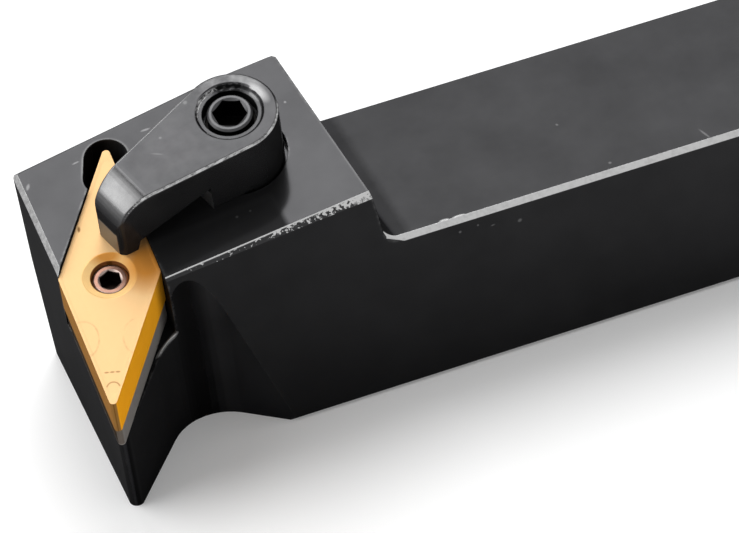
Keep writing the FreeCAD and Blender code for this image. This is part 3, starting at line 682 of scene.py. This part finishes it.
# %% Pressed marks, a chip and the insert's finish
dashes = [patch(tree, place, (0.1, 0.22, 0.5), 0.3, at=(-11.22, across, 0))
          for across in (-0.55, 0.0, 0.55)]
nose_marks = strongest(tree, *dashes)
arch = overlap(tree, ring(tree, place, 0.62, 0.1, at=(-12.98, -0.06, 0)),
               past(tree, place, "X", -13.0, -12.8))
pads = []
pad_shade_lines = []
for side in (-1, 1):
    off = add(tree, "VectorMath", {0: place, 1: (-7.3, side * 2.7, 0)}, operation="SUBTRACT")
    off = add(tree, "VectorMath", {0: off, 1: (2.1, 1.5, 2)}, operation="DIVIDE")
    reach = add(tree, "VectorMath", {0: off}, operation="LENGTH").outputs["Value"]
    pads.append(add(tree, "MapRange", {"Value": reach, "From Min": 1.06, "From Max": 0.94}))
    pad_shade_lines.append(overlap(
        tree, add(tree, "MapRange", {"Value": reach, "From Min": 1.12, "From Max": 1.03}),
        add(tree, "MapRange", {"Value": reach, "From Min": 0.94, "From Max": 1.0}),
        flat_top, add(tree, "MapRange", {"Value": mottle, "From Min": 0.46, "From Max": 0.6})))
chip = patch(tree, place, (0.3, 0.14, 0.3), 0.4, at=(5.7, 2.85, 0))
mouth_shade_line = overlap(tree, ring(tree, place, 2.66, 0.05),
                     patch(tree, place, (2.3, 2.3, 1), 0.3, at=(-1.6, 2.1, 0)))
nose_dark_reflection = facing(tree, nose_looks, 0.985, 0.999)
# Marks, with painted shade lines and the nose's painted dark reflection
browned = [(nose_marks, 0.55), (arch, 0.5), (strongest(tree, *pad_shade_lines), 0.22), (chip, 0.8),
           (nose_dark_reflection, 0.8), (mouth_shade_line, 0.4)]
brown = strongest(tree, *[overlap(tree, mask, strength) for mask, strength in browned])

# The shaded flank gold first, then the lit face gold, the painted light and shade, and the
# marks
colour = golds["flank"]
for mask, coat in ((flat_top, golds["face"]), (open_flank, golds["open flank"]),
                   (painted_light_cone, linear("#fbd28e")), (orange, linear("#c47e2a")),
                   (bore_shade, linear("#7a3f1e")), (brown, linear("#5d3a12"))):
    colour = add(tree, "Mix", {"Factor": mask, "A": colour, "B": coat}, data_type="RGBA")

# The grain of the pressed carbide is about 0.01 mm, too fine to show, and is drawn at 0.06 mm
grit_size = 0.06
rounded = add(tree, "Bevel", {"Radius": 0.06 * MM}, samples=6)
pressed = add(tree, "Bump", {"Height": strongest(tree, *pads), "Strength": 0.5,
                             "Distance": 0.05 * MM, "Normal": rounded})
relief = add(tree, "Bump", {"Height": grains(tree, place, grit_size, 2.0), "Strength": 0.2,
                            "Distance": 0.006 * MM, "Normal": pressed})
rough = add(tree, "MapRange", {"Value": mottle, "To Min": 0.5, "To Max": 0.64})
# The coat shines as half a metal, and less where painted light and shade are
sheen = add(tree, "MapRange", {"Value": strongest(tree, painted_light_cone, orange),
                               "From Max": 0.7, "To Min": 0.5, "To Max": 0.12})
gold = add(tree, "BsdfPrincipled", {"Base Color": colour, "Metallic": sheen,
                                    "Roughness": rough, "Normal": relief,
                                    "Specular IOR Level": 0.0,
                                    "Specular Tint": linear("#c08a3c")})
add(tree, "OutputMaterial", {"Surface": gold})
print("titanium nitride has", len(tree.nodes), "nodes")

# %% [markdown]
# ## The shim
# The shim is bare carbide, ground flat on both faces: a dull, slightly warm grey. Its flanks
# at the head's end and at the nose have painted shade, and the corners are a little paler.

# %% Ground carbide
end_flank_looks = (-0.99, 0.0763, -0.1176)
shim_mottle_size = 0.8  # mm, left by the grinding wheel

ground_carbide, tree = new_material("ground_carbide")
place = own_place(tree, insert_middle, insert_long, insert_up)
mottle = grains(tree, place, shim_mottle_size, 5.0)
colour = add(tree, "Mix", {"Factor": mottle, "A": linear("#8b8784"), "B": linear("#9f9b97")},
             data_type="RGBA")
# Painted shade on the flanks that face the head's end and the nose
shaded_flanks = strongest(tree, facing(tree, end_flank_looks, 0.85, 0.97),
                  overlap(tree, facing(tree, nose_looks, 0.5, 0.8), 0.7))
colour = add(tree, "Mix", {"Factor": shaded_flanks, "A": colour, "B": linear("#3a2d20")},
             data_type="RGBA")
paler = overlap(tree, outer_edges(tree, 0.2), mottle)
colour = add(tree, "Mix", {"Factor": paler, "A": colour, "B": linear("#b5b2ae")},
             data_type="RGBA")
rounded = add(tree, "Bevel", {"Radius": 0.06 * MM}, samples=6)
carbide = add(tree, "BsdfPrincipled", {"Base Color": colour, "Metallic": 0.7,
                                       "Roughness": 0.42, "Normal": rounded,
                                       "Specular IOR Level": 0.0,
                                       "Specular Tint": linear("#505050")})
add(tree, "OutputMaterial", {"Surface": carbide})
print("ground carbide is mottled every", shim_mottle_size, "mm")

# %% [markdown]
# ## The lock pin
# The pin is turned steel that heat and oil have tinted a faint copper. The socket's mouth has
# a painted highlight, and the socket itself is painted dark as shade. Height and the way that
# the surface looks are enough to tell the three apart.

# %% Tinted steel
pin_mottle_size = 0.7  # mm

pin_steel, tree = new_material("pin_steel")
place = own_place(tree, insert_middle, insert_long, insert_up)
mottle = grains(tree, place, pin_mottle_size)
rim = add(tree, "Mix", {"Factor": mottle, "A": linear("#5c4239"), "B": linear("#7d6154")},
          data_type="RGBA")
# A painted highlight on the socket's mouth
mouth = facing(tree, insert_up, 0.9, 0.8)
rim = add(tree, "Mix", {"Factor": mouth, "A": rim, "B": linear("#c9bfba")}, data_type="RGBA")
# Painted shade: the socket below is dark
colour = add(tree, "Mix", {"Factor": past(tree, place, "Z", -1.15, -0.85),
                           "A": linear("#1a1412"), "B": rim}, data_type="RGBA")
rounded = add(tree, "Bevel", {"Radius": 0.08 * MM}, samples=6)
pin = add(tree, "BsdfPrincipled", {"Base Color": colour, "Metallic": 1.0, "Roughness": 0.3,
                                   "Normal": rounded})
add(tree, "OutputMaterial", {"Surface": pin})
print("the pin is mottled every", pin_mottle_size, "mm")

# %% [markdown]
# ## Each piece gets its finish
# Every piece came with one plain material, so its slot only has to be given the new one.

# %% The finishes go on
finishes = {
    "holder_body": blackened_steel,
    "shim": ground_carbide,
    "insert": gold_coat,
    "lock_pin": pin_steel,
    "top_clamp": clamp_steel,
    "clamp_screw": screw_steel,
}
for name, finish in finishes.items():
    pieces[name].material_slots[0].material = finish
    print(name, "is now", finish.name)
